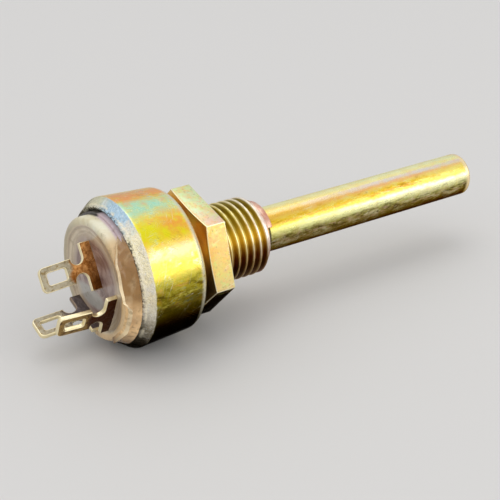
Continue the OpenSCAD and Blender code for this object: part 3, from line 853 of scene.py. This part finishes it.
def lug_finish(name, warm, dark, low, tin, dull):
    """Brass sheet that is warm and stained at its bar, darker low on it as painted shade, and tinned at its
    eyelet.
    """
    film = Finish(name, metallic=1.0, roughness=0.36)
    stain = film.noise(2.2, detail=5, roughness=0.7)
    cloud = film.noise(0.9, detail=3, offset=(5, 5, 5))
    along = film.plus(film.axes()[0], film.swing(cloud, 1.6))
    brass = film.mix(film.within(stain, 0.4, 0.6), warm, dark)
    # Painted shade: the sheet darkens low down.
    brass = film.mix(film.within(film.axes()[2], 1.5, 0.4), brass, film.mix(stain, low, dark))
    coat = film.mix(film.spots(0.5, 0.62, 2.6, 5, offset=(1, 4, 2)), tin, dull)
    film.set("Base Color", film.mix(film.within(along, -9.3, -9.7), brass, coat))
    film.set("Roughness", film.between(stain, 0.28, 0.55))
    film.bump(film.noise(2.2, detail=4, roughness=0.6), 0.12)
    return film.material


def lug_edge_finish():
    """Bright sheared edges of the lugs, with painted shade on the left terminal's bar edges."""
    film = Finish("lug_edge", metallic=1.0, roughness=0.3)
    x, y, z = film.axes()
    # Painted shade: the edges of the left terminal's bar are darkened.
    shaded_bar_edges = film.times(film.within(y, 0.2, 0.6), film.within(z, -1.5, -2.0))
    shaded_bar_edges = film.times(shaded_bar_edges, film.within(x, -9.0, -8.6))
    film.set("Base Color", film.mix(film.noise(2.0, detail=4), "FFF6D4", "F0DCA4"))
    film.overlay(shaded_bar_edges, "8C7A68")
    return film.material


def compound_finish(name, upper, lower):
    """Amber resin, smooth and a little cloudy: one colour above the part's middle and one below it."""
    film = Finish(name, roughness=0.24)
    cloud = film.noise(0.6, detail=4, roughness=0.6)
    turn = film.clock()
    shade = film.mix(film.sector(176, 190, turn), upper, lower)
    shade = film.over(shade, film.within(cloud, 0.42, 0.62), "8C6438", 0.4)
    strokes = film.noise(2.4, stretch=(0.4, 1, 0.3), offset=(4, 4, 4))
    shade = film.over(shade, film.within(strokes, 0.5, 0.66), "F4DCB0", 0.2)
    shade = film.mix(film.sector(128, 113, turn), shade, "C8B898")
    shade = film.mix(film.sector(214, 232, turn), shade, "7C5C34")
    grime = film.spots(0.56, 0.7, 2.2, 4, 0.5, (7, 3, 5))
    film.set("Base Color", film.over(shade, grime, "7A5C30", 0.5))
    film.set("Coat Weight", 0.2)
    film.set("Coat Roughness", 0.1)
    film.bump(film.noise(1.2, detail=3), 0.06)
    return film.material


def plain_finish(name, light, dark, metallic, roughness):
    """Finish of an inner piece: two close shades, a little gloss change and a fine grain."""
    film = Finish(name, metallic=metallic, roughness=roughness)
    stain = film.noise(2.0, detail=4, roughness=0.6)
    film.set("Base Color", film.mix(stain, light, dark))
    film.set("Roughness", film.between(stain, roughness * 0.8, min(1.0, roughness * 1.25)))
    film.bump(film.noise(8.0), 0.01)
    return film.material


class POT_OT_shaft(bpy.types.Operator):
    """Model the shaft with its grooves and its flatted end"""

    bl_idname = "pot.shaft"
    bl_label = "Shaft"

    def execute(self, context):
        s = context.scene.pot_shaft
        tip = reach("shaft")
        end = -rear("shaft")
        groove_front = reach("bushing") + s.groove_width
        groove_r = s.radius - s.groove_depth
        seal_front = s.seal_middle + s.seal_width / 2
        section = [(tip, 0), (tip, s.radius - s.tip_bevel)]
        section += arc((tip - s.tip_bevel, s.radius - s.tip_bevel), s.tip_bevel, 15, 75, 4)
        section += [(tip - s.tip_bevel, s.radius), (groove_front, s.radius), (groove_front, groove_r)]
        section += [(reach("bushing"), groove_r), (reach("bushing"), s.radius)]
        section += [(seal_front, s.radius), (seal_front, groove_r)]
        section += [(seal_front - s.seal_width, groove_r), (seal_front - s.seal_width, s.radius)]
        section += [(-s.shoulder, s.radius), (-s.shoulder, s.tenon_radius), (end, s.tenon_radius), (end, 0)]
        piece = turned("shaft_turned", section, steps=128)
        for side in (-1, 1):
            deselect()
            depth = s.tenon_radius
            away = side * (s.tenon_flats / 2 + depth / 2)
            bpy.ops.mesh.primitive_cube_add(size=1)
            tool = context.object
            tool.scale = (-s.shoulder - end, 4 * depth, depth)
            across = Vector((0, -math.sin(s.flats_turn), math.cos(s.flats_turn)))
            tool.location = across * away + Vector(((end - s.shoulder) / 2 - WELD, 0, 0))
            tool.rotation_euler = (s.flats_turn, 0, 0)
            bpy.ops.object.transform_apply(location=True, rotation=True, scale=True)
            cut(piece, tool)
        rounded(piece, s.edge, segments=2)
        smooth(piece)
        finish_piece(piece, SPINDLE, shaft_finish(), "shaft")
        return {"FINISHED"}


class POT_OT_bushing(bpy.types.Operator):
    """Model the bushing with its helical thread"""

    bl_idname = "pot.bushing"
    bl_label = "Bushing"

    def execute(self, context):
        s = context.scene.pot_bushing
        mouth = reach("bushing")
        flange_rear = -rear("bushing")
        flange_r = radius("bushing")
        rings = round((mouth + s.flange_front) / s.ring_step)
        section = [(flange_rear, s.bore), (mouth, s.bore), (mouth, s.radius - s.mouth_bevel)]
        section += divided((mouth, s.radius), (-s.flange_front, s.radius), rings)
        section += [(-s.flange_front, flange_r), (flange_rear, flange_r), (flange_rear, s.bore)]
        piece = turned("bushing_threaded", section, steps=144)
        for vertex in piece.data.vertices:
            at = vertex.co
            if axis_gap(at) > s.radius - 2 * WELD and -s.flange_front + WELD < at.x < mouth - WELD:
                move_out(at, self.thread_radius(s, at, mouth))
        pick(piece)
        smooth(piece, 40)
        finish_piece(piece, HOUSING, bushing_finish(), "bushing")
        return {"FINISHED"}

    def thread_radius(self, s, at, mouth):
        """Radius of the thread at a place: a rounded 60-degree groove that runs out at its ends."""
        phase = (at.x / s.pitch - math.atan2(at.z, at.y) / (2 * math.pi)) % 1
        crest_share, root_share, roundness = 0.14, 0.2, 0.35
        height = clamped((abs(2 * phase - 1) - root_share) / (1 - root_share - crest_share))
        height = eased(height) * roundness + height * (1 - roundness)
        run_out = clamped((at.x - s.thread_start) / s.pitch)
        thread = s.radius - s.thread_depth * (1 - height) * run_out
        return min(thread, s.radius - s.mouth_bevel + (mouth - at.x))


class POT_OT_nut(bpy.types.Operator):
    """Model the hexagon nut"""

    bl_idname = "pot.nut"
    bl_label = "Nut"

    def execute(self, context):
        s = context.scene.pot_nut
        piece = copied("nut_bevelled", "hex_nut")
        piece.data.materials.append(nut_finish())
        piece.data.materials.append(edge_finish())
        rounded(piece, s.edge, slot=1)
        smooth(piece, 30)
        finish_piece(piece, HOUSING, None, "hex_nut")
        return {"FINISHED"}


class POT_OT_ring(bpy.types.Operator):
    """Model the retaining ring"""

    bl_idname = "pot.ring"
    bl_label = "Retaining ring"

    def execute(self, context):
        piece = copied("retaining_ring_rounded", "retaining_ring")
        rounded(piece, RING_EDGE)
        smooth(piece, 40)
        finish_piece(piece, SPINDLE, ring_finish(), "retaining_ring")
        return {"FINISHED"}


class POT_OT_case(bpy.types.Operator):
    """Model the drawn case with its crimped rim"""

    bl_idname = "pot.case"
    bl_label = "Case"

    def execute(self, context):
        s = context.scene.pot_case
        depth = rear("case")
        rear_r = radius("case")
        slant = math.hypot(rear_r - s.crimp_radius, depth - s.band_depth)
        inward = s.wall * (depth - s.band_depth) / slant
        forward = s.wall * (rear_r - s.crimp_radius) / slant
        lip = (-(depth - forward), s.crimp_radius - inward)
        slope = (depth - s.band_depth) / (rear_r - s.crimp_radius)
        inner_r = rear_r - s.wall
        inner_corner = (lip[0] + (inner_r - lip[1]) * slope, inner_r)
        edge_in = s.edge_radius - s.wall
        corner = (-s.band_depth, rear_r)
        section = [(0, s.hole), (0, s.front_radius - s.edge_radius)]
        section += arc((-s.edge_radius, s.front_radius - s.edge_radius), s.edge_radius, 0, 90, 12)[1:]
        section += divided(section[-1], corner, 12)
        section += divided(corner, (-depth, s.crimp_radius), 10)
        section += [lip, inner_corner]
        front_in = (-s.edge_radius, s.front_radius - s.edge_radius)
        section += list(reversed(arc(front_in, edge_in, 0, 90, 5)))
        section += [(-s.wall, s.hole), (0, s.hole)]
        piece = turned("case_drawn", section, steps=192)
        self.roughen(s, piece)
        rounded(piece, s.edge, segments=2, limit=25)
        self.paint(s, piece)
        smooth(piece, 30)
        finish_piece(piece, HOUSING, None, "case")
        return {"FINISHED"}

    def roughen(self, s, piece):
        """Make the crimped rim uneven, as it is where it was rolled over."""
        for vertex in piece.data.vertices:
            at = vertex.co
            if at.x < -s.band_depth - WELD and axis_gap(at) > s.crimp_radius - WELD:
                share = clamped((-s.band_depth - at.x) / s.lump_start)
                wave = noise.noise(at / s.lump_size) + 0.6 * noise.noise(at / s.fine_lumps)
                move_out(at, axis_gap(at) - s.lumps * share * (1 + wave) / 2)

    def paint(self, s, piece):
        """Give the band its film and the crimp its bare silver."""
        piece.data.materials.append(case_finish())
        piece.data.materials.append(crimp_finish())
        for face in piece.data.polygons:
            behind = face.center.x < -s.band_depth
            face.material_index = 1 if behind and axis_gap(face.center) > s.crimp_radius - s.wall else 0


class POT_OT_base(bpy.types.Operator):
    """Model the moulded base with its dish"""

    bl_idname = "pot.base"
    bl_label = "Base"

    def execute(self, context):
        s = context.scene.pot_base
        depth = rear("base")
        floor = depth - s.dish_depth
        dish_r = s.boss_radius - s.rim_width
        flat_r = dish_r - s.dish_curve
        section = [(-floor, 0)]
        section += divided((-floor, 0), (-floor, flat_r), 24)
        steps, steepness = 15, 2.2
        for i in range(1, steps):
            share = i / steps
            section.append((-floor - s.dish_depth * share**steepness, flat_r + s.dish_curve * share))
        section += [(-depth, dish_r + s.rim_lip)]
        round_centre = (-depth + s.rim_round, s.boss_radius - s.rim_round)
        section += list(reversed(arc(round_centre, s.rim_round, 90, 180, 6)))
        section += [(-s.step_depth, s.boss_radius), (-s.step_depth, s.step_radius)]
        section += [(-s.neck_depth, s.step_radius), (-s.seat_rear, s.seat_rear_radius)]
        section += [(-s.seat_front, s.seat_front_radius), (-s.floor_depth, s.skirt_radius)]
        section += [(reach("base"), s.skirt_radius), (reach("base"), s.skirt_bore)]
        section += [(-s.floor_depth, s.skirt_bore), (-s.floor_depth, 0)]
        piece = turned("base_moulded", section, steps=192)
        self.shape_dish(s, piece, floor, dish_r - s.dish_slope)
        smooth(piece, 40)
        finish_piece(piece, HOUSING, moulding_finish(), "base")
        return {"FINISHED"}

    def shape_dish(self, s, piece, floor, floor_r):
        """Let the resin in the dish rise a little along the terminals, and make its sloping wall wavy."""
        bars = [bar_line(node) for node in ("terminal_centre", "terminal_right", "terminal_left")]
        for vertex in piece.data.vertices:
            at = vertex.co
            r = axis_gap(at)
            if r < floor_r and -floor - s.dish_depth < at.x < -floor + WELD:
                gap = min(line_gap(at, bar) for bar in bars)
                at.x -= s.meniscus * math.exp(-gap / s.meniscus_reach)
            elif r > floor_r and at.x < -floor:
                wave = noise.noise(at / s.wave_size) + 0.5 * noise.noise(at / s.fine_waves)
                at.x += s.waves * (1 + wave)


def bar_line(node):
    """Ends of a terminal's bar, seen along the shaft, from the node's own vertices."""
    points = [v.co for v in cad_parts[node].data.vertices if -BAR_REAR < v.co.x < -BAR_FRONT]
    centre = sum(points, Vector()) / len(points)
    ends = max(points, key=lambda p: (p - centre).yz.length)
    other = max(points, key=lambda p: (p - ends).yz.length)
    return ends.yz.copy(), other.yz.copy()


def line_gap(at, line):
    """Distance from a place to a bar's line, seen along the shaft."""
    along = line[1] - line[0]
    share = clamped((at.yz - line[0]).dot(along) / along.length_squared)
    return (at.yz - line[0] - along * share).length


class POT_OT_lugs(bpy.types.Operator):
    """Model the three terminals with their eyelets"""

    bl_idname = "pot.lugs"
    bl_label = "Terminals"

    def execute(self, context):
        s = context.scene.pot_lugs
        c = context.scene.pot_finish
        sheet = lug_finish("lug_film", c.brass, "A0642C", "2C1404", c.tin, "8C7850")
        # Painted shade: the left terminal's bar is a dark grey copy of the brass.
        grey = ("80706C", "605450", "6C6464")
        shaded = lug_finish("lug_shaded", *grey, c.tin, "94805C")
        # Painted shade: the right terminal's outer side is a darker brown copy of the brass.
        brown = ("8A4C1A", "54280C", "3C1C08")
        painted_shade_side = lug_finish("lug_painted_shade_side", *brown, "A88850", "5E4020")
        edges = lug_edge_finish()
        leans = {
            "terminal_centre": (math.tan(s.centre_lean) / 2, -math.tan(s.centre_lean)),
            "terminal_right": (math.tan(s.right_lean), 0.0),
            "terminal_left": (math.tan(s.left_lean), -math.tan(s.left_lean)),
        }
        for node, (sideways, upwards) in leans.items():
            piece = copied(node + "_stamped", node)
            for material in (shaded if node == "terminal_left" else sheet, edges, painted_shade_side):
                piece.data.materials.append(material)
            self.paint(piece, node == "terminal_right")
            rounded(piece, s.edge, slot=1)
            for vertex in piece.data.vertices:
                past = max(0, -s.neck_depth - vertex.co.x)
                vertex.co.y += past * sideways
                vertex.co.z += past * upwards
            smooth(piece, 30)
            finish_piece(piece, HOUSING, None, node)
        return {"FINISHED"}

    def paint(self, piece, outer_side):
        """Give the sheared edges their finish, and one terminal's outer side painted shade."""
        sheet = max(piece.data.polygons, key=lambda face: face.area).normal.copy()
        for face in piece.data.polygons:
            if abs(face.normal.dot(sheet)) < 0.8:
                face.material_index = 1
            elif outer_side and face.normal.y < 0:
                face.material_index = 2


class POT_OT_compound(bpy.types.Operator):
    """Model the wavy fillet of sealing compound"""

    bl_idname = "pot.compound"
    bl_label = "Sealing compound"

    def execute(self, context):
        s = context.scene.pot_compound
        b = context.scene.pot_base
        case = context.scene.pot_case
        depth = rear("base")
        crimp_depth = rear("case")
        start = (-depth + s.sink, b.boss_radius - s.inset)
        crest = (-depth - s.crest_rise, b.boss_radius + s.bulge)
        belly = (-depth + s.belly_depth, crest[1] + s.belly)
        foot = (-crimp_depth - s.lap, case.crimp_radius + s.lap)
        corner = (-crimp_depth + s.corner_depth, b.boss_radius + s.corner_gap)
        section = [start] + divided(start, crest, 6) + divided(crest, belly, 6) + divided(belly, foot, 8)
        section += [(corner[0], case.crimp_radius - s.corner_inset), corner, start]
        piece = turned("compound_fillet", section, steps=220, start=s.start, sweep=s.arc)
        self.paint(s, piece, crest)
        for vertex in piece.data.vertices:
            self.shape(s, vertex.co, start, crest, corner)
        smooth(piece, 60)
        finish_piece(piece, HOUSING, None, "sealing_compound")
        return {"FINISHED"}

    def paint(self, s, piece, crest):
        """Give the slope towards the crimp, the crown and the crest's ridge their finishes: the crown
        painted lighter as lit and the ridge a painted highlight.
        """
        amber = bpy.context.scene.pot_finish.amber
        # Lit and shaded copies of one resin; each lower colour is lighter as a painted highlight.
        for name, upper, lower in (
            ("compound_slope", amber, "F4CC94"),
            ("compound_crown_lit", "E4B478", "FFD494"),
            ("compound_ridge_highlight", "FCE4B8", "FCE4B4"),
        ):
            piece.data.materials.append(compound_finish(name, upper, lower))
        for face in piece.data.polygons:
            r = axis_gap(face.center)
            behind = crest[0] + s.crown - face.center.x
            if abs(r - crest[1]) < s.ridge and behind > s.ridge_depth:
                face.material_index = 2
            elif r < crest[1] and behind > 0:
                face.material_index = 1

    def shape(self, s, at, start, crest, corner):
        """Fold the fillet's crest in and out, and shrink the fillet into its corner towards both ends."""
        r = axis_gap(at)
        turn = (math.atan2(at.z, at.y) - s.start) % (2 * math.pi)
        turn = turn if turn < s.arc + ANGLE_SLACK else 0
        size = s.end_size + (1 - s.end_size) * eased(clamped(min(turn, s.arc - turn) / s.taper))
        near_crest = math.exp(-abs(at.x - crest[0]) / s.fold_reach)
        near_crest *= clamped((r - start[1]) / (crest[1] - start[1]))
        outside = 1 if at.x < corner[0] - WELD else 0
        crease = 1 - abs(noise.noise(at / s.crease_size)) * 2 - 0.5 * abs(noise.noise(at / s.fine_creases))
        fold = self.fold(turn + s.start) * near_crest * size * outside
        move_out(at, corner[1] + (r - corner[1]) * size + fold + s.creases * crease * size * outside)
        at.x = corner[0] + (at.x - corner[0]) * size + max(0, fold) * s.fold_lean

    def fold(self, turn):
        """How far the crest stands out of its mean circle at a clock angle."""
        degrees = math.degrees(turn)
        for (a, low), (b, high) in zip(CREST_FOLDS, CREST_FOLDS[1:]):
            if degrees <= b:
                return (low + (high - low) * eased(clamped((degrees - a) / (b - a)))) * MM
        return 0.0


class POT_OT_inside(bpy.types.Operator):
    """Finish the pieces that the case hides"""

    bl_idname = "pot.inside"
    bl_label = "Inner pieces"

    def execute(self, context):
        steel = plain_finish("plain_steel", "C8C8CC", "A8A8AC", 1.0, 0.3)
        rubber = plain_finish("black_rubber", "1E1E1E", "2A2A28", 0.0, 0.7)
        carbon = plain_finish("carbon", "242426", "343436", 0.0, 0.55)
        bronze = plain_finish("spring_bronze", "D09A58", "B88040", 1.0, 0.3)
        brown = plain_finish("brown_moulding", "4A2C1C", "38200F", 0.0, 0.45)
        silver = plain_finish("silvered", "DAD8D0", "BCB8AC", 1.0, 0.25)
        finishes = {
            "thrust_washer": silver,
            "shaft_seal": rubber,
            "stop_pin": steel,
            "rotor": brown,
            "wiper_spring": bronze,
            "track_brush": carbon,
            "collector_brush": carbon,
            "rotor_clip": steel,
            "resistive_track": carbon,
            "collector_ring": silver,
            "base_gasket": rubber,
        }
        for node, material in finishes.items():
            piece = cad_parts[node]
            piece.data.materials.clear()
            piece.data.materials.append(material)
        return {"FINISHED"}


class POT_OT_stage(bpy.types.Operator):
    """Lay the floor, set the soft lamps and place the camera"""

    bl_idname = "pot.stage"
    bl_label = "Stage"

    def execute(self, context):
        s = context.scene.pot_stage
        self.floor(s)
        self.world(context)
        self.lamps()
        self.camera(context, s)
        return {"FINISHED"}

    def floor(self, s):
        """Pale floor under the case's lowest line."""
        deselect()
        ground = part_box("case")[0].z
        bpy.ops.mesh.primitive_circle_add(vertices=64, radius=3, fill_type="NGON", location=(0, 0, ground))
        floor = bpy.context.object
        floor.name = "floor"
        film = Finish("floor_paint", roughness=0.6)
        film.set("Base Color", s.floor_colour)
        floor.data.materials.append(film.material)

    def world(self, context):
        """Soft daylight, lighter overhead than at the horizon."""
        world = bpy.data.worlds.new("soft_sky")
        context.scene.world = world
        world.use_nodes = True
        nodes, links = world.node_tree.nodes, world.node_tree.links
        place = nodes.new("ShaderNodeTexCoord")
        split = nodes.new("ShaderNodeSeparateXYZ")
        ramp = nodes.new("ShaderNodeValToRGB")
        for element, at, light in zip(ramp.color_ramp.elements, (0.0, 0.9), (HORIZON, ZENITH)):
            element.position = at
            element.color = light
        links.new(place.outputs["Generated"], split.inputs[0])
        links.new(split.outputs["Z"], ramp.inputs["Fac"])
        links.new(ramp.outputs["Color"], nodes["Background"].inputs["Color"])

    def lamps(self):
        """Softboxes: a key in front of the shaft, one overhead and a weak one at the lugs."""
        places = {
            "key": ((0.23, -0.36, 0.15), 0.44, 0.54),
            "overhead": ((0.0, 0.12, 0.5), 0.45, 0.32),
            "left": ((-0.35, -0.1, 0.22), 0.3, 0.15),
        }
        for name, (place, size, power) in places.items():
            data = bpy.data.lights.new(name, "AREA")
            data.shape = "RECTANGLE"
            data.size = size
            data.size_y = size * 0.6
            data.energy = power
            lamp = bpy.data.objects.new(name, data)
            lamp.location = place
            lamp.rotation_euler = (-Vector(place)).to_track_quat("-Z", "Y").to_euler()
            bpy.context.scene.collection.objects.link(lamp)

    def camera(self, context, s):
        """Camera at the photograph's viewing angle."""
        data = bpy.data.cameras.new("camera")
        data.sensor_width = 36
        data.lens = s.lens
        data.clip_start = 0.005
        data.clip_end = 20
        camera = bpy.data.objects.new("camera", data)
        flat = math.cos(s.elevation)
        back = Vector(
            (math.sin(s.azimuth) * flat, -math.cos(s.azimuth) * flat, math.sin(s.elevation))
        )
        camera.location = Vector((s.target_x, 0, s.target_z)) + back * s.distance
        camera.rotation_euler = (-back).to_track_quat("-Z", "Y").to_euler()
        context.scene.collection.objects.link(camera)
        context.scene.camera = camera
        context.scene.view_settings.view_transform = "Standard"


OPERATORS = (
    POT_OT_shaft,
    POT_OT_ring,
    POT_OT_bushing,
    POT_OT_nut,
    POT_OT_case,
    POT_OT_base,
    POT_OT_lugs,
    POT_OT_compound,
    POT_OT_inside,
    POT_OT_stage,
)


class POT_PT_panel(bpy.types.Panel):
    """Sidebar panel that lists the pieces"""

    bl_idname = "POT_PT_panel"
    bl_label = "Rotary Potentiometer"
    bl_space_type = "VIEW_3D"
    bl_region_type = "UI"
    bl_category = "Potentiometer"

    def draw(self, context):
        for operator in OPERATORS:
            self.layout.operator(operator.bl_idname)
        for name, group in SETTINGS.items():
            box = self.layout.box()
            for key in group.__annotations__:
                box.prop(getattr(context.scene, name), key)


def register():
    """Register the settings, the operators and the panel."""
    for name, group in SETTINGS.items():
        bpy.utils.register_class(group)
        setattr(bpy.types.Scene, name, PointerProperty(type=group))
    for operator in OPERATORS:
        bpy.utils.register_class(operator)
    bpy.utils.register_class(POT_PT_panel)


def unregister():
    """Take the panel, the operators and the settings out again."""
    bpy.utils.unregister_class(POT_PT_panel)
    for operator in reversed(OPERATORS):
        bpy.utils.unregister_class(operator)
    for name, group in SETTINGS.items():
        delattr(bpy.types.Scene, name)
        bpy.utils.unregister_class(group)


def main():
    """Register the settings and operators and build all the pieces in order."""
    register()
    for operator in OPERATORS:
        getattr(bpy.ops.pot, operator.bl_idname.split(".")[1])()


if __name__ == "__main__":
    main()
